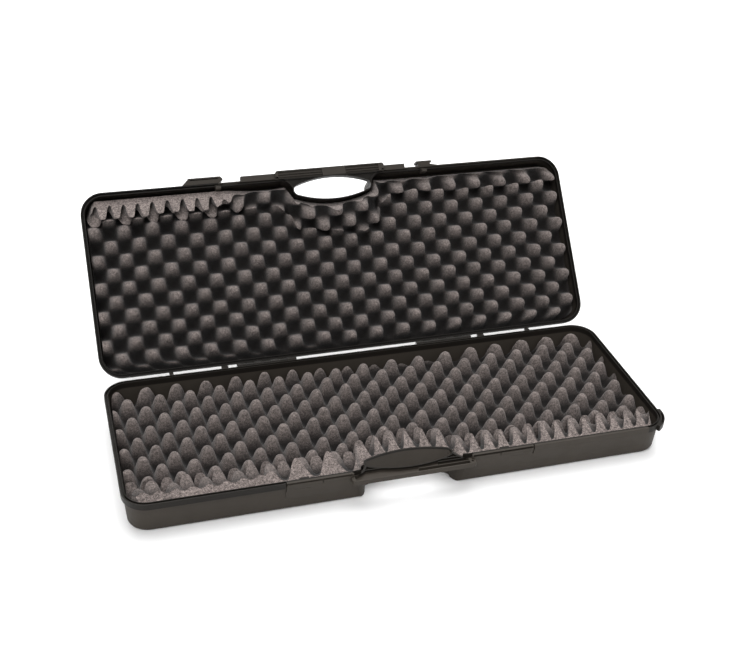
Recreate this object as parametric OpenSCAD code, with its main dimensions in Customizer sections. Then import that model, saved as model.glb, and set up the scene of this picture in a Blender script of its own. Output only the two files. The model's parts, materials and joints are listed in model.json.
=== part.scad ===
// Hard clam-shell rod case: two moulded trays hinged along the back, with a two-part carry handle
// and two sliding latches on the front and foam pads inside. Millimetres, +Z up.
// Origin: centre of the tray floor. X runs along the case, the hinge is at +Y, the handle at -Y.
// The lid is drawn closed and then turned about the hinge axis by lid_open.

/* [Shells] */
// Length of the rim along X
case_len = 950; // [800:10:1300]
// Depth of the rim from front to back
case_dep = 344; // [320:2:420]
// Height of the lower tray from floor to rim plane
tray_h = 61.5; // [58:0.5:90]
// Height of the lid from rim plane to top
lid_h = 46; // [44:0.5:80]
// Plan radius of the rim corners
corner_r = 42; // [36:1:60]
// Wall thickness of the tray
tray_wall = 2.8; // [2.4:0.1:3.2]
// Wall thickness of the lid
lid_wall = 2.2; // [2:0.1:3]
// How far the lid is turned open from closed, in degrees
lid_open = 130.5; // [0:0.5:130.5]

/* [Rim] */
// Height of the bead that runs round the rim
bead_h = 10.5; // [9:0.5:14]
// How far the bead stands out from the wall below it
bead_out = 4; // [3:0.5:6]
// Width of the rim's top face
rim_w = 7; // [6.5:0.1:9]
// Gap between the two rim faces when shut
rim_gap = 0.3; // [0.2:0.1:1]

/* [Handle] */
// Half length of the flat part of the grip
grip_half = 103; // [98:1:106]
// How far the grip stands in front of the rim
grip_out = 12; // [9:0.5:16]
// Thickness of the lid's half of the grip
grip_t = 13.3; // [12:0.1:16]
// Thickness of the tray's half of the grip
low_grip_t = 8.5; // [8:0.5:10]
// Depth of the face between the two halves below the rim plane
grip_drop = 7.5; // [6:0.5:8]

/* [Latches] */
// Travel of the left latch from open to locked
left_travel = 34; // [28:1:34]
// Travel of the right latch from open to locked
right_travel = 25; // [20:1:25]

/* [Foam] */
// Thickness of the tray pad
tray_pad_t = 41; // [20:1:44]
// Thickness of the lid pad
lid_pad_t = 34; // [18:1:34]

/* [Hidden] */
$fn = 48;
eps = 0.02;
yf = -case_dep / 2;
yr = case_dep / 2;
lid_z = tray_h + rim_gap;
// hinge axis, just behind and below the rim face
hinge_y = yr + 5.1;
hinge_z = tray_h - 2.8;
knuckle_r = 4.5;
pin_r = 1.6;
bore_r = 1.65;
hinge_x = 174;
hinge_len = 112;
knuckles = 7;
knuckle_gap = 0.4;
// outer edge rounding and draft of the walls
edge_r = 8;
draft = 0.07;
// finger hole: four tangent arcs, centred hole_y behind the rim face
hole_y = yf + 28.3;
hole_end_r = 10;
hole_end_x = 66;
hole_side_r = 197.5;
hole_side_c = 175.5;
// rounded ends of the hand recess
cove_r = 28;
cove_y = hole_y + 3.7;
// front strip of the recess walls that stays at rim height, and the channel's rear edge
lip_y = yf + 8;
low_ridge_y = yf + 11.5;
high_ridge_y = yf + 4.6;
buffer_h = 13.3;
// latches: x of the open latch's neck (left end, width), neck heights above the rim plane
neck_w = 10;
neck_lo = 3.4;
neck_hi = 6.2;
left_neck_x = -224;
right_neck_x = 184;
slot_play = 0.5;
// ends of the buffers, 0.4 clear of the locked latches
left_stop_x = left_neck_x + left_travel + 16.4;
right_stop_x = right_neck_x - right_travel - 7;
latch_top = 18;

// ---------- shared plan shapes ----------

// finger hole outline, enlarged by g
module hole_plan(g = 0) {
    r = hole_side_r + g;
    e = hole_end_r + g;
    tip = hole_end_x + (hole_end_r + g) * hole_end_x / (hole_side_r - hole_end_r);
    translate([0, hole_y]) {
        intersection() {
            translate([0, -hole_side_c]) circle(r, $fn = 180);
            translate([0, hole_side_c]) circle(r, $fn = 180);
            square([2 * tip, 80], center = true);
        }
        for (s = [-1, 1])
            translate([s * hole_end_x, 0]) circle(e);
    }
}

// hand recess outline: finger hole plus the coved mouth in the front wall, enlarged by g
module recess_plan(g = 0) {
    hole_plan(g);
    difference() {
        translate([-grip_half, yf - 40]) square([2 * grip_half, cove_y - yf + 40]);
        for (s = [-1, 1])
            translate([s * grip_half, cove_y]) circle(cove_r - g);
    }
}

// ---------- shared shell pieces, rim plane at z = 0 and the floor at z = -h ----------

// carries a profile (x = 0 at the rim face, x < 0 inward) round the rim outline
module rim_sweep() {
    lx = case_len / 2 - corner_r;
    ly = case_dep / 2 - corner_r;
    for (a = [0, 180]) rotate([0, 0, a]) {
        rotate([90, 0, 0])
            linear_extrude(2 * ly, center = true) translate([case_len / 2, 0]) children();
        rotate([0, 0, 90]) rotate([90, 0, 0])
            linear_extrude(2 * lx, center = true) translate([case_dep / 2, 0]) children();
        translate([lx, ly, 0])
            rotate_extrude(angle = 90) translate([corner_r, 0]) children();
        translate([-lx, ly, 0]) rotate([0, 0, 90])
            rotate_extrude(angle = 90) translate([corner_r, 0]) children();
    }
}

// wall section filled to the sweep centre, from z_top down to z_bot, edge rounding r
module wall_profile(z_top, z_bot, x_rim, x_wall, r) {
    z_arc = z_bot + r;
    x_arc = x_wall - draft * (-bead_h - z_arc);
    polygon([
        [-corner_r, z_top], [x_rim, z_top], [x_rim, -bead_h], [x_wall, -bead_h],
        [x_arc, z_arc], [x_arc - r, z_bot], [-corner_r, z_bot]
    ]);
    translate([x_arc - r, z_arc]) circle(r);
}

module solid_sweep(z_top, z_bot) {
    rim_sweep() children();
    translate([corner_r - case_len / 2, corner_r - case_dep / 2, z_bot])
        cube([case_len - 2 * corner_r, case_dep - 2 * corner_r, z_top - z_bot]);
}

// one tray: swept walls and floor, hand recess, rim grooves
module tray(h, wall) {
    difference() {
        solid_sweep(0, -h) wall_profile(0, -h, 0, -bead_out, edge_r);
        difference() {
            solid_sweep(1, wall - h)
                wall_profile(1, wall - h, -rim_w, -bead_out - wall, edge_r - wall);
            translate([0, 0, -h - 1]) linear_extrude(h + 3) recess_plan(wall);
        }
        translate([0, 0, -h - 1]) linear_extrude(h + 2) recess_plan();
        // sealing groove in the rim face
        rim_sweep() translate([-5.6, -5]) square([3.4, 6]);
        // drip groove behind the lower edge of the bead
        rim_sweep() translate([-bead_out, -bead_h - 1]) square([bead_out - 1.6, 3.8]);
    }
}

// half of the grip: a bar in front of the finger hole, its face at z = top, hollowed from there by
// children(); the part above the rim plane keeps clear of the other tray's rim
module grip(top, t, hollow) {
    difference() {
        union() {
            translate([0, 0, top - t]) linear_extrude(t - max(top, 0)) grip_plan();
            if (top > 0) linear_extrude(top) drop_plan();
        }
        translate([0, 0, top - hollow]) linear_extrude(hollow + 1) children();
    }
}

// plan of the lid's handle part that hangs below its rim plane, with the wall round the recess
module drop_plan() {
    clear = 0.6;
    difference() {
        union() {
            intersection() {
                grip_plan();
                translate([-2 * grip_half, yf - 2 * grip_out]) square([4 * grip_half, 2 * grip_out - clear]);
            }
            intersection() {
                recess_plan(-clear);
                translate([clear - grip_half, yf - 2]) square([2 * (grip_half - clear), lip_y - yf + 4]);
            }
            intersection() {
                recess_plan(lid_wall);
                translate([-grip_half, lip_y + clear]) square([2 * grip_half, 80]);
            }
        }
        hole_plan();
    }
}

module grip_plan() {
    end_x = grip_half + 5;
    r = 5;
    difference() {
        union() {
            translate([-end_x, yf - grip_out + r]) square([2 * end_x, grip_out - r + 4]);
            translate([r - end_x, yf - grip_out]) square([2 * (end_x - r), 2 * r]);
            for (s = [-1, 1])
                translate([s * (end_x - r), yf - grip_out + r]) circle(r);
            intersection() {
                recess_plan(1);
                translate([-end_x, yf]) square([2 * end_x, cove_y - yf]);
            }
        }
        hole_plan();
    }
}

// channel from the outer wall of the grip back to ridge_y, with a cell at each end of the hole
module channel_plan(ridge_y) {
    skin = 2.4;
    rib = 1.8;
    difference() {
        union() {
            intersection() {
                recess_plan(-1.6);
                translate([1 - grip_half, yf - grip_out + skin])
                    square([2 * grip_half - 7, ridge_y - yf + grip_out - skin]);
            }
            intersection() {
                recess_plan(-1);
                translate([-grip_half, ridge_y + rib]) square([2 * grip_half, cove_y - ridge_y - rib]);
            }
        }
        hole_plan(1.8);
    }
}

// lengthwise rib of the channel from x0 to x1 with its middle at y
module channel_rib(x0, x1, y) {
    translate([x0, y - 0.7]) square([x1 - x0, 1.4]);
}

// row of hinge knuckles; first = 0 gives the even ones, 1 the odd ones
module knuckle_row(first) {
    step = hinge_len / knuckles;
    for (k = [first:2:knuckles - 1])
        translate([k * step - hinge_len / 2 + knuckle_gap / 2, 0, 0])
            rotate([90, 0, 90]) linear_extrude(step - knuckle_gap) children();
}

module at_hinges() {
    for (s = [-1, 1])
        translate([s * hinge_x, 0, 0]) children();
}

// bars through the knuckles, grown by g
module hinge_bore(s, r, extra) {
    translate([s * hinge_x, hinge_y, hinge_z]) rotate([0, 90, 0])
        cylinder(r = r, h = hinge_len + extra, center = true);
}

module turn_lid() {
    translate([0, hinge_y, hinge_z]) rotate([-lid_open, 0, 0])
        translate([0, -hinge_y, -hinge_z]) children();
}

// ---------- lower tray ----------

module base_shell() {
    color([0.13, 0.12, 0.12]) difference() {
        union() {
            translate([0, 0, tray_h]) {
                difference() {
                    tray(tray_h, tray_wall);
                    // the wall behind the finger hole ends at the face between the grips
                    translate([0, 0, -grip_drop]) linear_extrude(grip_drop + 1) intersection() {
                        recess_plan(tray_wall + 0.1);
                        translate([-grip_half, lip_y]) square([2 * grip_half, 80]);
                    }
                }
                grip(-grip_drop, low_grip_t, low_grip_t - 1.8) difference() {
                    channel_plan(low_ridge_y);
                    channel_rib(8, grip_half, yf - 2.4);
                    channel_rib(44, grip_half, yf + 5.7);
                }
                corner_lug();
                front_panel(-216, -grip_half - 2);
                front_panel(grip_half + 2, case_len / 2 - corner_r);
                keeper(left_neck_x + left_travel, neck_w);
                keeper(right_neck_x - right_travel, neck_w);
            }
            at_hinges() knuckle_row(0) base_knuckle();
            for (s = [-1, 1], t = [[252, 12], [350, 7]])
                translate([s * t[0] - t[1] / 2, 0, 0]) stop_tab(t[1]);
        }
        for (s = [-1, 1]) hinge_bore(s, bore_r, 4);
        translate([0, 0, tray_h]) {
            for (s = [-1, 1]) panel_marks(s);
            // blind hole at the right end of the grip
            translate([grip_half - 1, yf - 5, -grip_drop - 6]) cylinder(r = 2, h = 7);
        }
    }
}

// hollow lug round the right front corner of the rim, open at the top
module corner_lug() {
    lug_h = 11;
    translate([case_len / 2 - corner_r, corner_r - case_dep / 2, -lug_h - 0.5]) difference() {
        rotate([0, 0, -62]) rotate_extrude(angle = 70)
            translate([corner_r - 2, 0]) square([7.5, lug_h]);
        rotate([0, 0, -46]) rotate_extrude(angle = 38)
            translate([corner_r + 0.8, 2]) square([2.9, lug_h]);
    }
}

// front wall brought out to the rim face in one slope, without the bead
module front_panel(x0, x1) {
    low = bead_h + 28;
    rotate([90, 0, 90]) translate([0, 0, x0]) linear_extrude(x1 - x0)
        polygon([
            [yf, -eps], [yf, -3], [yf + bead_out + draft * 28, -low],
            [yf + bead_out + draft * 28 + 1.5, -low], [yf + rim_w - 0.5, -bead_h], [yf + rim_w - 0.5, -eps]
        ]);
}

// lines moulded into the front under each latch: lip shadow, end notch and mid tick
module panel_marks(s) {
    reach = 216 - grip_half - 3;
    x0 = s > 0 ? grip_half + 3 : -216;
    lip = 0.8;
    shadow = s > 0 ? 3.8 : 3.1;
    translate([x0, yf - 1, -lip - shadow]) cube([reach, s > 0 ? 5 : 3, shadow]);
    translate([s * 216 - 1.1, yf - 1, -18]) cube([2.2, 5.3, 19]);
    translate([s * 155 - 0.8, yf - 1, -11]) cube([1.6, 3, 10]);
    translate([s * 190 - 16, yf - 1, -17]) cube([32, 3.6, 0.9]);
}

// ledge inside the front wall that the latch toe slides under
module keeper(x, w) {
    translate([x - 3, yf + rim_w - 1, -3.4]) cube([w + 6, 4.3, 3.4]);
}

module base_knuckle() {
    translate([hinge_y, hinge_z]) circle(knuckle_r);
    polygon([
        [yr - 1, tray_h - bead_h + 1], [yr - 1, tray_h - 0.4], [yr + 0.8, tray_h - 0.4],
        [hinge_y, hinge_z], [hinge_y, hinge_z - knuckle_r]
    ]);
}

// tab behind the rim that the opened lid comes to rest on
module stop_tab(w) {
    open_max = 130.5;
    s = sin(open_max);
    c = cos(open_max);
    // rear corner of the lid rim at full opening and the direction its back face then takes
    py = hinge_y + (yr - hinge_y) * c + (lid_z - hinge_z) * s - 0.3 * -c;
    pz = hinge_z - (yr - hinge_y) * s + (lid_z - hinge_z) * c - 0.3 * s;
    rotate([90, 0, 90]) linear_extrude(w) polygon([
        [yr - 1, tray_h - bead_h + 1], [yr - 1, hinge_z + 1], [py - 2, hinge_z + 1],
        [py + s, pz + c], [py + 5 * s, pz + 5 * c], [py - 1, tray_h - bead_h + 1]
    ]);
}

module base_foam() {
    color([0.2, 0.19, 0.19]) translate([0, 0, tray_wall + 0.3]) pad(tray_pad_t, 16);
}

// foam pad inset from the rim outline, with a bay that clears the hand recess
module pad(t, inset) {
    r = corner_r - inset;
    lx = case_len / 2 - corner_r;
    ly = case_dep / 2 - corner_r;
    linear_extrude(t) difference() {
        union() {
            square([2 * lx, 2 * (ly + r)], center = true);
            square([2 * (lx + r), 2 * ly], center = true);
            for (sx = [-1, 1], sy = [-1, 1])
                translate([sx * lx, sy * ly]) circle(r);
        }
        translate([-grip_half - 11, yf]) square([2 * grip_half + 22, hole_y + 32 - yf]);
    }
}

module hinge_pin_left() {
    color([0.75, 0.75, 0.76]) hinge_bore(-1, pin_r, -0.4);
}

module hinge_pin_right() {
    color([0.75, 0.75, 0.76]) hinge_bore(1, pin_r, -0.4);
}

// ---------- lid ----------

module lid_shell() {
    color([0.13, 0.12, 0.12]) turn_lid() difference() {
        union() {
            translate([0, 0, lid_z]) mirror([0, 0, 1]) {
                tray(lid_h, lid_wall);
                grip(grip_drop - rim_gap, grip_t, 3) difference() {
                    channel_plan(high_ridge_y);
                    for (y = [yf - 4.7, yf + 0.1])
                        channel_rib(-grip_half, grip_half, y);
                    translate([-16, yf - grip_out]) square([46, 20]);
                }
                // buffers between the grip and the latches
                translate([left_stop_x, yf - 9, -buffer_h])
                    cube([-grip_half - left_stop_x, 10, buffer_h]);
                translate([grip_half, yf - 8, -buffer_h])
                    cube([right_stop_x - grip_half, 9, buffer_h]);
            }
            at_hinges() knuckle_row(1) lid_knuckle();
        }
        for (s = [-1, 1]) hinge_bore(s, bore_r, 4);
        neck_slot(left_neck_x, left_travel);
        neck_slot(right_neck_x - right_travel, right_travel);
    }
}

// slot through the front of the rim in which a latch neck runs
module neck_slot(x, travel) {
    translate([x - slot_play, yf - 1, lid_z + neck_lo - 0.3])
        cube([neck_w + travel + 2 * slot_play, 12, neck_hi - neck_lo + 0.6]);
}

module lid_knuckle() {
    translate([hinge_y, hinge_z]) circle(knuckle_r);
    polygon([
        [yr - 1, lid_z + 0.2], [yr - 1, lid_z + 6], [yr + 1, lid_z + 6],
        [hinge_y + 1.2, hinge_z + 4.3], [hinge_y, hinge_z], [yr + 1.2, lid_z + 0.2]
    ]);
}

module lid_foam() {
    color([0.2, 0.19, 0.19]) turn_lid()
        translate([0, 0, lid_z + lid_h - lid_wall - 0.3 - lid_pad_t]) pad(lid_pad_t, 15);
}

// ---------- latches ----------

// plan of a latch's outer body, extruded above the rim plane, with its neck, guide and hooked toe
module latch(outline, neck_x) {
    back = yf + rim_w;
    turn_lid() translate([0, 0, lid_z]) {
        difference() {
            translate([0, 0, 0.4]) linear_extrude(latch_top - 0.4) polygon(outline);
            children();
        }
        translate([neck_x, yf - 0.6, neck_lo]) cube([neck_w, 13.4, neck_hi - neck_lo]);
        // guide behind the rim
        translate([neck_x, back + 0.3, neck_lo]) cube([neck_w, 5.5, 6]);
        // leg and toe that reach down into the tray
        translate([neck_x, back + 3.7, -7.4]) cube([neck_w, 2.1, neck_hi + 7.4]);
        translate([neck_x, back + 0.6, -7.4]) cube([neck_w, 4, 3.2]);
    }
}

module latch_left() {
    x1 = left_neck_x + 16;
    color([0.1, 0.1, 0.1]) latch([
        [x1 - 77, yf - 0.3], [x1 - 65, yf - 11.5], [x1 - 65, yf - 12.8], [x1 - 4, yf - 12.8],
        [x1, yf - 8], [x1, yf - 6], [x1 - 6, yf - 0.3]
    ], left_neck_x) {
        translate([x1 - 62, yf - 10, -1]) cube([54, 2.2, 5]);
        for (k = [0:4])
            translate([x1 - 50 + 8 * k, yf - 14, 4]) cube([2.4, 2.2, latch_top]);
    }
}

module latch_right() {
    x0 = right_neck_x - 4;
    color([0.1, 0.1, 0.1]) latch([
        [x0, yf - 0.3], [x0, yf - 6.5], [x0 - 2.6, yf - 6.5], [x0 - 2.6, yf - 10.5],
        [x0 + 28.2, yf - 10.5], [x0 + 28.2, yf - 6.5], [x0 + 25, yf - 6.5],
        [x0 + 25, yf - 3.4], [x0 + 39.5, yf - 0.3]
    ], right_neck_x) {
        for (k = [0:2])
            translate([x0 + 4 + 8 * k, yf - 12, 4]) cube([2.4, 2.4, latch_top]);
    }
}

// ---------- output ----------

base_shell();
base_foam();
hinge_pin_left();
hinge_pin_right();
lid_shell();
lid_foam();
latch_left();
latch_right();
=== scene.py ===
import json
import math

import bpy
import numpy as np
from mathutils import Matrix, Vector


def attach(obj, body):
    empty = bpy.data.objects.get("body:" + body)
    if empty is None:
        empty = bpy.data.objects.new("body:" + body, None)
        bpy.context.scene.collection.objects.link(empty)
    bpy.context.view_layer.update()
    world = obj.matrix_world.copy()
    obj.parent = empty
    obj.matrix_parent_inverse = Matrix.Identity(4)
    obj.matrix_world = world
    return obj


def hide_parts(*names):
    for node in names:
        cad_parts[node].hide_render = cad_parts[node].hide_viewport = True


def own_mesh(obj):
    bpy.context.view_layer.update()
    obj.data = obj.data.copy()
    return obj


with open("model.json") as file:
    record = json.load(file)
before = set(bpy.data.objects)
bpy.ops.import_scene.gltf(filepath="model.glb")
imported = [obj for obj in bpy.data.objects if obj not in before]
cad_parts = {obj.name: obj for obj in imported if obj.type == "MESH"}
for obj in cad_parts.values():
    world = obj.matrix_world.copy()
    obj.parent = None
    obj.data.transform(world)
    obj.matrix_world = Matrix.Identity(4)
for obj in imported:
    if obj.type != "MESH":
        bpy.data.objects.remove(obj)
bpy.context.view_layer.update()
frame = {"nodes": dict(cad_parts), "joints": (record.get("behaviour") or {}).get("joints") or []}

# ---------------------------------------------------------------- sizes, metres, from the CAD source
CASE_LEN, CASE_DEP = 0.950, 0.344
CORNER_R = 0.042
RIM_Z = 0.0615
LID_Z = RIM_Z + 0.0003  # rim plane of the closed lid
LID_H = 0.046
RIM_BEAD = 0.0107  # height of the rim's bead
PLAIN_FRONT = (-0.216, 0.433)  # between these, along X, the front gets no painted rim shade and keeps the walls' colour
BASE_WALL, LID_WALL = 0.0028, 0.0022
# finger hole: middle line, radius of its long sides and how far past the middle they are centred
HOLE_Y = -CASE_DEP / 2 + 0.0283
HOLE_SIDE_R, HOLE_SIDE_C = 0.1975, 0.1755
# hand recess: half its width in the front wall, radius and centre of its rounded ends
MOUTH_HALF, COVE_R, COVE_Y = 0.103, 0.028, HOLE_Y + 0.0037
HINGE = Vector(frame["joints"][0]["pos_m"])
LID_OPEN = math.radians(frame["joints"][0]["range_deg"][1])
OPENED = Matrix.Rotation(-LID_OPEN, 3, "X")
LID_UP = OPENED @ Vector((0, 0, -1))  # out of the opened lid's hollow side


def on_open_lid(point):
    """Where a point of the closed lid is once the lid is open."""
    return OPENED @ (Vector(point) - HINGE) + HINGE


# ---------------------------------------------------------------- material helpers
class Nodes:
    """Small wrapper that builds one material's node tree."""

    def __init__(self, name):
        self.mat = bpy.data.materials.new(name)
        self.mat.use_nodes = True
        self.tree = self.mat.node_tree
        self.bsdf = self.tree.nodes["Principled BSDF"]
        self.coord = self.add("ShaderNodeTexCoord").outputs["Object"]

    def add(self, kind, **values):
        node = self.tree.nodes.new(kind)
        for key, value in values.items():
            setattr(node, key, value)
        return node

    def link(self, a, b):
        self.tree.links.new(a, b)

    def noise(self, scale, detail=3.0, rough=0.5, stretch=None):
        node = self.add("ShaderNodeTexNoise")
        node.inputs["Scale"].default_value = scale
        node.inputs["Detail"].default_value = detail
        node.inputs["Roughness"].default_value = rough
        vector = self.coord
        if stretch:
            mapping = self.add("ShaderNodeMapping")
            mapping.inputs["Scale"].default_value = stretch
            self.link(self.coord, mapping.inputs["Vector"])
            vector = mapping.outputs["Vector"]
        self.link(vector, node.inputs["Vector"])
        return node.outputs["Fac"]

    def ramp(self, source, stops):
        node = self.add("ShaderNodeValToRGB")
        ramp = node.color_ramp
        while len(ramp.elements) < len(stops):
            ramp.elements.new(0.5)
        for element, (place, colour) in zip(ramp.elements, stops):
            element.position = place
            element.color = (*colour, 1.0)
        self.link(source, node.inputs["Fac"])
        return node.outputs["Color"]

    def spread(self, source, low, high, in_low=0.3, in_high=0.7):
        node = self.add("ShaderNodeMapRange")
        node.inputs["From Min"].default_value = in_low
        node.inputs["From Max"].default_value = in_high
        node.inputs["To Min"].default_value = low
        node.inputs["To Max"].default_value = high
        self.link(source, node.inputs["Value"])
        return node.outputs["Result"]

    def bump(self, height, strength, distance, below=None):
        node = self.add("ShaderNodeBump")
        node.inputs["Strength"].default_value = strength
        node.inputs["Distance"].default_value = distance
        self.link(height, node.inputs["Height"])
        if below is not None:
            self.link(below, node.inputs["Normal"])
        return node.outputs["Normal"]

    def set(self, name, value):
        self.bsdf.inputs[name].default_value = value

    def math(self, operation, *values):
        node = self.add("ShaderNodeMath", operation=operation)
        for socket, value in zip(node.inputs, values):
            if isinstance(value, (int, float)):
                socket.default_value = value
            else:
                self.link(value, socket)
        return node.outputs["Value"]

    def times(self, a, b):
        return self.math("MULTIPLY", a, b)

    def scaled(self, colour, factor):
        node = self.add("ShaderNodeVectorMath", operation="SCALE")
        self.link(colour, node.inputs[0])
        self.link(factor, node.inputs["Scale"])
        return node.outputs["Vector"]

    def along(self, direction):
        """Distance of the shaded point along a direction."""
        node = self.add("ShaderNodeVectorMath", operation="DOT_PRODUCT")
        self.link(self.coord, node.inputs[0])
        node.inputs[1].default_value = direction
        return node.outputs["Value"]

    def painted_rim_band(self, point, outward, front, reach):
        """Mask of the painted shade on a tray's rim: 1 on the bead and past the rim plane, 0 on the
        walls and the plain front.

        point lies on the rim's front edge, outward points out of the tray's open side, front
        points away from the hinge, and reach is the height of the bead."""
        up, ahead = Vector(outward), Vector(front)
        height = self.math("SUBTRACT", self.along(up), Vector(point).dot(up))
        forward = self.math("SUBTRACT", self.along(ahead), Vector(point).dot(ahead))
        near = self.spread(height, 0.0, 1.0, -reach - 0.0006, -reach + 0.0002)
        low, high = PLAIN_FRONT
        mid, half = (low + high) / 2, (high - low) / 2
        off_mid = self.math("ABSOLUTE", self.math("SUBTRACT", self.along((1, 0, 0)), mid))
        plain = self.spread(off_mid, 1.0, 0.0, half, half + 0.002)
        at_front = self.spread(forward, 0.0, 1.0, -0.0042, -0.0034)
        return self.times(near, self.math("SUBTRACT", 1.0, self.times(plain, at_front)))


def grey(value, warm=0.0):
    """Grey, with red raised and blue lowered by the share warm."""
    return (value * (1 + warm), value, value * (1 - warm))


def plastic(name, base, rough, grain, warm, rim=None):
    """Moulded plastic: fine spark-eroded grain, slow shade drift, faint handling wear.

    rim holds the arguments of Nodes.band, and makes that band darker, a painted shade on the rim's top
    and bead, and glossier."""
    n = Nodes(name)
    drift = n.noise(9.0, 4.0, 0.55)
    shade = n.ramp(drift, [(0.25, grey(base * 0.9, warm)), (0.8, grey(base * 1.1, warm))])
    wear = n.noise(38.0, 6.0, 0.62)
    gloss = n.spread(wear, rough - 0.07, rough + 0.08)
    # painted shade: the rim's top and bead are coloured darker, as if shaded
    if rim:
        painted_rim_band = n.painted_rim_band(*rim)
        shade = n.scaled(shade, n.spread(painted_rim_band, 1.0, RIM_PAINTED_SHADE, 0.0, 1.0))
        gloss = n.times(gloss, n.spread(painted_rim_band, 1.0, 0.8, 0.0, 1.0))
    n.link(shade, n.bsdf.inputs["Base Color"])
    n.link(gloss, n.bsdf.inputs["Roughness"])
    fine = n.noise(1500.0, 2.0, 0.5)
    soft = n.noise(22.0, 2.0, 0.4)
    first = n.bump(soft, 0.25, 0.0006)
    n.link(n.bump(fine, grain, 0.00012, first), n.bsdf.inputs["Normal"])
    n.set("IOR", 1.48)
    n.set("Specular IOR Level", 0.16)
    return n.mat


def foam_tone(value):
    """Slightly pink dark grey."""
    return (value * 1.15, value * 0.96, value * 0.89)


def foam(name, base, contrast):
    """Open-cell foam: two sizes of pore, matt, uneven in shade, and darker in the valleys by painted
    shade.

    The mesh's lift attribute says how light a point is, from 0 to 1; it is painted shade, low in the
    valleys."""
    n = Nodes(name)
    cell = n.noise(620.0, 3.0, 0.7)
    speckle = n.noise(270.0, 2.0, 0.6)
    patch = n.noise(30.0, 4.0, 0.6)
    mix = n.times(n.spread(cell, 1 - contrast, 1 + contrast), n.spread(patch, 0.84, 1.16))
    mix = n.times(mix, n.spread(speckle, 1 - 0.6 * contrast, 1 + 0.6 * contrast))
    # painted shade: the colour is scaled by the lift attribute, darkest in the valleys where shade falls
    lift = n.add("ShaderNodeAttribute", attribute_name="lift").outputs["Fac"]
    shade = n.spread(n.times(mix, lift), 0.0, 1.0, 0.0, 2.0)
    tones = [(0.0, foam_tone(base * 0.03)), (1.0, foam_tone(base * 2.0))]
    n.link(n.ramp(shade, tones), n.bsdf.inputs["Base Color"])
    n.link(n.spread(cell, 0.88, 1.0), n.bsdf.inputs["Roughness"])
    coarse = n.bump(n.noise(170.0, 3.0, 0.6), 0.35, 0.0016)
    n.link(n.bump(cell, 1.0, 0.0009, coarse), n.bsdf.inputs["Normal"])
    n.set("Sheen Weight", 0.12)
    n.set("Sheen Roughness", 0.6)
    n.set("Specular IOR Level", 0.15)
    return n.mat


def steel(name):
    """Drawn wire: bright, with fine streaks along X."""
    n = Nodes(name)
    streak = n.noise(60.0, 4.0, 0.6, (0.05, 8.0, 8.0))
    n.link(n.ramp(streak, [(0.3, grey(0.42)), (0.75, grey(0.62))]), n.bsdf.inputs["Base Color"])
    n.link(n.spread(streak, 0.22, 0.4), n.bsdf.inputs["Roughness"])
    n.link(n.bump(streak, 0.2, 0.0001), n.bsdf.inputs["Normal"])
    n.set("Metallic", 1.0)
    return n.mat


def plain_floor(name):
    """White matt paper."""
    n = Nodes(name)
    tone = n.noise(1.5, 2.0, 0.5)
    n.link(n.ramp(tone, [(0.0, grey(0.9)), (1.0, grey(0.94))]), n.bsdf.inputs["Base Color"])
    n.link(n.spread(tone, 0.75, 0.85), n.bsdf.inputs["Roughness"])
    n.set("Specular IOR Level", 0.1)
    return n.mat


RIM_PAINTED_SHADE = 0.3  # painted shade on the bead and the rim's top: the walls' colour is scaled by this there
# where the painted rim shade goes, on the base and on the opened lid
BASE_RIM_PAINTED_SHADE = ((0, -CASE_DEP / 2, RIM_Z), (0, 0, 1), (0, -1, 0), RIM_BEAD)
LID_RIM_PAINTED_SHADE = (tuple(on_open_lid((0, -CASE_DEP / 2, LID_Z))), tuple(LID_UP),
           tuple(OPENED @ Vector((0, -1, 0))), RIM_BEAD)
SHELL = plastic("shell_plastic", 0.038, 0.52, 0.6, 0.18, BASE_RIM_PAINTED_SHADE)
LID_SHELL = plastic("lid_plastic", 0.033, 0.52, 0.6, 0.16, LID_RIM_PAINTED_SHADE)
LATCH = plastic("latch_plastic", 0.032, 0.42, 0.4, 0.16)
FOAM = foam("foam_skin", 0.122, 0.75)
FOAM_CUT = foam("foam_cut", 0.155, 0.9)
STEEL = steel("pin_steel")

for node, mat in {
    "base_shell": SHELL, "lid_shell": LID_SHELL,
    "latch_left": LATCH, "latch_right": LATCH,
    "hinge_pin_left": STEEL, "hinge_pin_right": STEEL,
}.items():
    data = frame["nodes"][node].data
    data.materials.clear()
    data.materials.append(mat)


# ---------------------------------------------------------------- convoluted foam
# rows of each pad: pitch along and across the rows, turn in radians, phase of a peak
BASE_ROWS = (0.0550, 0.0550, math.radians(2.0), 0.15, 0.50)
LID_ROWS = (0.0535, 0.0527, math.radians(0.75), 0.481, 0.209)
WEB, PEAK = 0.011, 0.039  # solid part under the valleys, and the height of the peaks above it


def smooth(a, b, x):
    """0 at a and before it, 1 at b and past it, and an S curve between."""
    t = np.clip((x - a) / (b - a), 0, 1)
    return t * t * (3 - 2 * t)


def wobble(x, y, seed, size):
    """Smooth, repeatable unevenness of the given size, mostly between -1 and 1."""
    rng = np.random.default_rng(seed)
    total = np.zeros_like(x)
    for _ in range(9):
        a = rng.uniform(0, 2 * math.pi)
        k = 2 * math.pi / (size * rng.uniform(0.7, 1.6))
        total += np.sin(k * (x * math.cos(a) + y * math.sin(a)) + rng.uniform(0, 2 * math.pi))
    return total / 4.5


def wobble_along(x, seed, size):
    """The same unevenness along a line."""
    return wobble(x, np.zeros_like(x), seed, size)


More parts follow.
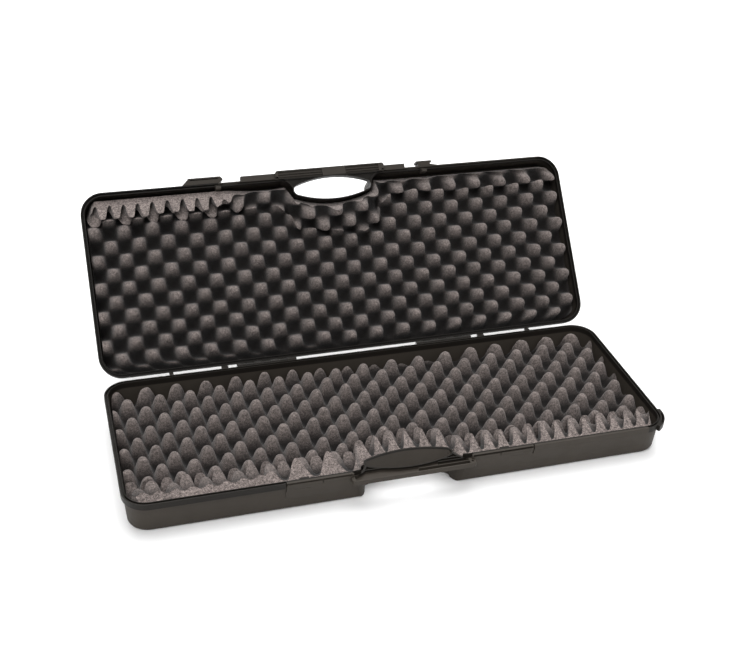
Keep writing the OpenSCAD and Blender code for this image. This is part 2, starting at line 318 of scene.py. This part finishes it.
def egg_crate(x, y, rows, seed):
    """Height of the foam above its web, 0 in a valley and 1 on a peak."""
    pitch_x, pitch_y, turn, phase_x, phase_y = rows
    c, s = math.cos(turn), math.sin(turn)
    gx = x + 0.0022 * wobble(x, y, seed, 0.16)
    gy = y + 0.0022 * wobble(x, y, seed + 1, 0.16)
    u = (gx * c + gy * s) / pitch_x - phase_x
    v = (gy * c - gx * s) / pitch_y - phase_y
    wave = np.cos(2 * math.pi * u) * np.cos(2 * math.pi * v)
    saddle = 0.30
    up = saddle + (1 - saddle) * np.sin(0.5 * math.pi * np.maximum(wave, 0)) ** 0.95
    down = saddle * (1 - np.maximum(-wave, 0) ** 0.62)
    return np.where(wave > 0, up, down)


FRONT_EDGE = -0.1585  # y of a pad's front edge along the straight front wall
HOLE_REACH = 0.09  # half length over which the finger hole's curve is followed
HOLE_BLEND = (0.079, 0.093)  # where, either side, the edge comes back to the straight


def front_line(x):
    """Where the front edge of a pad stands: along the front wall and round the hand recess."""
    a = np.abs(x)
    wall = BASE_WALL + 0.001
    hole = HOLE_Y + np.sqrt(HOLE_SIDE_R**2 - np.minimum(a, HOLE_REACH) ** 2) - HOLE_SIDE_C + wall
    cove = COVE_Y - np.sqrt(np.maximum((COVE_R - wall) ** 2 - np.minimum(a - MOUTH_HALF, 0) ** 2, 0))
    inner = np.maximum(hole, cove)
    w = 1 - smooth(*HOLE_BLEND, a)
    return (1 - w) * FRONT_EDGE + w * np.maximum(inner, FRONT_EDGE)


class Pad:
    """Sheet of convoluted foam laid in a tray, its front edge curled up against the front wall.

    inset is the gap to the rim's outline, lift the height of the sheet's underside, and rows and
    seed place the peaks. rise(x) and curl(x) give the height and the angle of the front edge, and
    radius how tightly it bends. cut(x) gives the sawn edge, and hem how far the peaks are lower
    along the back. Local coordinates: x and y as the case, z up from the tray floor."""

    COLUMNS, ROWS, EDGE_LAYERS = 380, 150, 9
    CUT_REACH = 0.016  # how far the sawn edge shapes the surface behind it

    def __init__(self, name, inset, lift, rise, curl, radius, rows, seed, cut, hem):
        self.name, self.seed, self.rows, self.cut, self.hem = name, seed, rows, cut, hem
        self.lift, self.rise, self.curl, self.radius = lift, rise, curl, radius
        self.x_end = CASE_LEN / 2 - inset
        self.y_back = CASE_DEP / 2 - inset
        self.round = CORNER_R - inset

    def x_limit(self, y):
        """Half width of the pad at y, drawn in at the rounded corners."""
        over = np.clip(np.abs(y) - (self.y_back - self.round), 0, self.round)
        return self.x_end - self.round + np.sqrt(np.maximum(self.round**2 - over**2, 0))

    def mesh(self, place):
        """The finished piece; place turns local coordinates into the case's own."""
        across = np.linspace(-1, 1, self.COLUMNS)
        along = np.linspace(0, 1, self.ROWS)
        x0 = across * self.x_end
        line = front_line(x0)
        r = self.radius
        a, rise = self.curl(x0), self.rise(x0)
        straight = np.maximum((rise - self.lift - r * (1 - np.cos(a))) / np.sin(a), 0)
        bend_y = line + r * np.sin(a) + straight * np.cos(a)
        flat = self.y_back - bend_y
        total = flat + r * a + straight
        s = along[None, :] * total[:, None]
        a = a[:, None]
        turn = np.clip((s - flat[:, None]) / r, 0, a)
        past = np.maximum(s - flat[:, None] - r * a, 0)
        y = self.y_back - np.minimum(s, flat[:, None]) - r * np.sin(turn) - past * np.cos(a)
        z = self.lift + r * (1 - np.cos(turn)) + past * np.sin(a)
        lattice_y = self.y_back - s
        x = np.broadcast_to(x0[:, None], s.shape)
        crate = egg_crate(x, lattice_y, self.rows, self.seed)
        crate = crate * (0.1 + 0.9 * smooth(0.0, self.hem, s))
        height, share = self.cut(x)
        edge = smooth(self.CUT_REACH, 0.0, total[:, None] - s) * share
        crate = crate * (1 - edge) + height * edge
        uneven = 1 + 0.06 * wobble(x, lattice_y, self.seed + 5, 0.09)
        thick = WEB * (1 - 0.5 * edge) + PEAK * crate * uneven
        top_y, top_z = y + thick * np.sin(turn), z + thick * np.cos(turn)
        low_limit, high_limit = self.x_limit(y), self.x_limit(top_y)
        top_x = across[:, None] * (0.6 * low_limit + 0.4 * high_limit)
        bot_x = across[:, None] * low_limit
        top = np.stack([top_x, top_y, top_z], -1)
        bottom = np.stack([bot_x, y, z], -1)
        # painted shade for the foam's colour: lowest in the valleys between the peaks
        lift = 0.03 + 0.97 * smooth(0.12, 0.80, crate)
        return self.solid(top, bottom, lift, place)

    def solid(self, top, bottom, lift, place):
        """Closed mesh between two grids, with finely cut edge faces."""
        nx, ns = top.shape[:2]
        points = np.concatenate([top.reshape(-1, 3), bottom.reshape(-1, 3)])
        ti = np.arange(nx * ns).reshape(nx, ns)
        bi = ti + nx * ns
        faces, mats = [], []

        def grid(ids, mat, flip=False):
            quads = np.stack([ids[:-1, :-1], ids[1:, :-1], ids[1:, 1:], ids[:-1, 1:]], -1).reshape(-1, 4)
            faces.append(quads[:, ::-1] if flip else quads)
            mats.append(np.full(len(quads), mat))

        grid(ti, 0, flip=True)
        grid(bi, 0)
        count = 2 * nx * ns
        rings = [
            (ti[:, -1], bi[:, -1], False),
            (ti[:, 0], bi[:, 0], True),
            (ti[0, :], bi[0, :], False),
            (ti[-1, :], bi[-1, :], True),
        ]
        extra = []
        for upper, lower, flip in rings:
            inner = []
            for j in range(1, self.EDGE_LAYERS):
                f = j / self.EDGE_LAYERS
                extra.append(points[upper] * (1 - f) + points[lower] * f)
                inner.append(np.arange(count, count + len(upper)))
                count += len(upper)
            # two edge faces meet at each corner column, which the weld below makes one
            grid(np.stack([upper, *inner, lower], 1), 1, flip=flip)
        points = place(np.concatenate([points, *extra]))
        mats = np.concatenate(mats).astype(np.int32)
        mesh = bpy.data.meshes.new(self.name)
        mesh.from_pydata(points.tolist(), [], np.concatenate(faces).tolist())
        mesh.polygons.foreach_set("material_index", mats)
        mesh.polygons.foreach_set("use_smooth", mats == 0)
        mesh.materials.append(FOAM)
        mesh.materials.append(FOAM_CUT)
        # the lift values, painted valley shade, go on the top grid; other points get none
        shade = np.ones(len(points), np.float32)
        shade[: nx * ns] = lift.ravel()
        mesh.attributes.new("lift", "FLOAT", "POINT").data.foreach_set("value", shade)
        piece = bpy.data.objects.new(self.name, mesh)
        bpy.context.scene.collection.objects.link(piece)
        join = piece.modifiers.new("join", "WELD")
        join.merge_threshold = 0.00005
        return piece


def teeth(x, pitch, shift, low, high, seed, full=1.0):
    """Row of sawn-through peaks along a cut edge; full under 1 gives them blunter tips."""
    phase = (x - shift) / pitch + 0.12 * wobble_along(x, seed, 0.2)
    tri = 1 - np.abs(2 * (phase - np.floor(phase)) - 1)
    return low + (high - low) * smooth(0.1, full, tri)


def base_cut(x):
    """Height of the sawn front edge, and how far it replaces the moulded surface."""
    left = teeth(x, 0.0275, 0.0, 0.30, 0.44, 3)
    middle = teeth(x, 0.053, -0.005, 0.02, 0.98, 4)
    right = teeth(x, 0.0267, 0.0, 0.06, 0.88, 5)
    past_left = smooth(-0.26, -0.22, x)
    past_middle = smooth(-0.09, -0.05, x)
    height = left * (1 - past_left) + middle * past_left
    return height * (1 - past_middle) + right * past_middle, np.ones_like(x)


def lid_cut(x):
    """The same for the lid: sharp teeth at the left end, softer ones at the right."""
    left = teeth(x, 0.0275, 0.006, 0.2, 1.0, 8, 0.7)
    right = teeth(x, 0.052, 0.02, 0.0, 0.8, 9)
    at_left = 1 - smooth(-0.24, -0.18, x)
    at_right = smooth(0.10, 0.16, x)
    return left * at_left + right * at_right, np.maximum(at_left, 0.6 * at_right)


def base_curl(x):
    """Angle of the front edge."""
    return np.radians(np.full_like(x, 62.0))


def base_rise(x):
    """Height of the front edge, lower round the hand recess."""
    at_hole = 1 - smooth(0.085, 0.12, np.abs(x))
    return 0.050 - 0.006 * at_hole + 0.0015 * wobble_along(x, 21, 0.2)


def lid_curl(x):
    """Only the left end of the lid pad is folded up far enough to show its sawn edge."""
    at_hole = 1 - smooth(0.07, 0.12, np.abs(x))
    flatter = smooth(-0.23, -0.14, x)
    return np.radians(60 - 38 * flatter + 6 * at_hole + 5 * wobble_along(x, 22, 0.15))


def lid_rise(x):
    """Height of the lid pad's front edge, raised at the left end and round the finger hole."""
    at_hole = 1 - smooth(0.07, 0.12, np.abs(x))
    return 0.034 - 0.022 * smooth(-0.23, -0.14, x) + 0.016 * at_hole


def in_base(points):
    """Local pad coordinates are the tray's own."""
    return points


def in_lid(points):
    """Local pad coordinates to the opened lid: floor up, upside down, turned about the hinge."""
    closed = points.copy()
    closed[:, 2] = LID_Z + LID_H - LID_WALL - points[:, 2]
    turn = np.array(OPENED)
    axis = np.array([0, HINGE.y, HINGE.z])
    return (closed - axis) @ turn.T + axis


base_pad = Pad("foam_base", inset=0.0105, lift=BASE_WALL + 0.0003, rise=base_rise, curl=base_curl,
               radius=0.055, rows=BASE_ROWS, seed=11, cut=base_cut, hem=0.006).mesh(in_base)
lid_pad = Pad("foam_lid", inset=0.0100, lift=0.0003, rise=lid_rise, curl=lid_curl,
              radius=0.036, rows=LID_ROWS, seed=31, cut=lid_cut, hem=0.012).mesh(in_lid)
lid_pad.data.flip_normals()
lid_floor = on_open_lid((0, 0, LID_Z + LID_H - LID_WALL))
for piece, node, body, normal, anchor in (
    (base_pad, "base_foam", "base", (0, 0, 1), (0, 0, BASE_WALL)),
    (lid_pad, "lid_foam", "lid", tuple(LID_UP), tuple(lid_floor)),
):
    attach(piece, body)
    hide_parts(node)
    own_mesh(piece)

# ---------------------------------------------------------------- floor, light, camera
FLOOR_HALF = 12.0
floor_mesh = bpy.data.meshes.new("floor")
corners = [(sx * FLOOR_HALF, sy * FLOOR_HALF, 0) for sx, sy in ((-1, -1), (1, -1), (1, 1), (-1, 1))]
floor_mesh.from_pydata(corners, [], [(0, 1, 2, 3)])
floor = bpy.data.objects.new("floor", floor_mesh)
bpy.context.scene.collection.objects.link(floor)
floor_mesh.materials.append(plain_floor("floor_paper"))

world = bpy.data.worlds.new("studio")
bpy.context.scene.world = world
world.use_nodes = True
background = world.node_tree.nodes["Background"]
background.inputs["Color"].default_value = (1.0, 1.0, 1.0, 1.0)
background.inputs["Strength"].default_value = 0.3


def area_light(name, place, target, size, power):
    """Rectangular soft light aimed at target, itself out of every picture."""
    data = bpy.data.lights.new(name, "AREA")
    data.shape = "RECTANGLE"
    data.size, data.size_y = size
    data.energy = power
    lamp = bpy.data.objects.new(name, data)
    lamp.location = place
    lamp.rotation_mode = "QUATERNION"
    lamp.rotation_quaternion = (Vector(target) - Vector(place)).to_track_quat("-Z", "Y")
    lamp.visible_camera = False
    bpy.context.scene.collection.objects.link(lamp)


def soft_sun(name, place, strength, spread):
    """Even, far light, so that the floor stays equally white everywhere."""
    data = bpy.data.lights.new(name, "SUN")
    data.energy = strength
    data.angle = spread
    lamp = bpy.data.objects.new(name, data)
    lamp.rotation_mode = "QUATERNION"
    lamp.rotation_quaternion = (-Vector(place)).to_track_quat("-Z", "Y")
    bpy.context.scene.collection.objects.link(lamp)


soft_sun("key", (-0.9, -1.2, 1.9), 1.75, math.radians(35))
soft_sun("top", (0.25, 0.65, 2.0), 2.6, math.radians(52))
area_light("fill", (1.9, -1.6, 1.7), (0, 0.1, 0.1), (1.6, 1.2), 10)
area_light("rear", (0.0, 2.4, 1.0), (0, 0.3, 0.0), (2.6, 0.8), 22)
# low strip under the opened lid that lights the floor seen through the gap at the hinge
area_light("gap", (0.0, 0.36, 0.09), (0, 0.25, 0.0), (0.95, 0.06), 0.6)

# the camera's direction, roll, aim and distance
AZ, EL, ROLL = math.radians(-18.09), math.radians(32.67), math.radians(3.05)
TARGET, DISTANCE = Vector((-0.0088, 0.0555, 0.1777)), 2.030
back = Vector((math.sin(AZ) * math.cos(EL), -math.cos(AZ) * math.cos(EL), math.sin(EL)))
level = Vector((0, 0, 1)).cross(back).normalized()
upright = back.cross(level)
right = math.cos(ROLL) * level + math.sin(ROLL) * upright
up = -math.sin(ROLL) * level + math.cos(ROLL) * upright
camera = bpy.data.objects.new("camera", bpy.data.cameras.new("camera"))
camera.data.sensor_width = 36.0
camera.data.lens = 55.76
camera.data.clip_start, camera.data.clip_end = 0.05, 60
camera.matrix_world = Matrix((
    (right.x, up.x, back.x, TARGET.x + back.x * DISTANCE),
    (right.y, up.y, back.y, TARGET.y + back.y * DISTANCE),
    (right.z, up.z, back.z, TARGET.z + back.z * DISTANCE),
    (0, 0, 0, 1),
))
bpy.context.scene.collection.objects.link(camera)
bpy.context.scene.camera = camera
bpy.context.scene.view_settings.view_transform = "Standard"
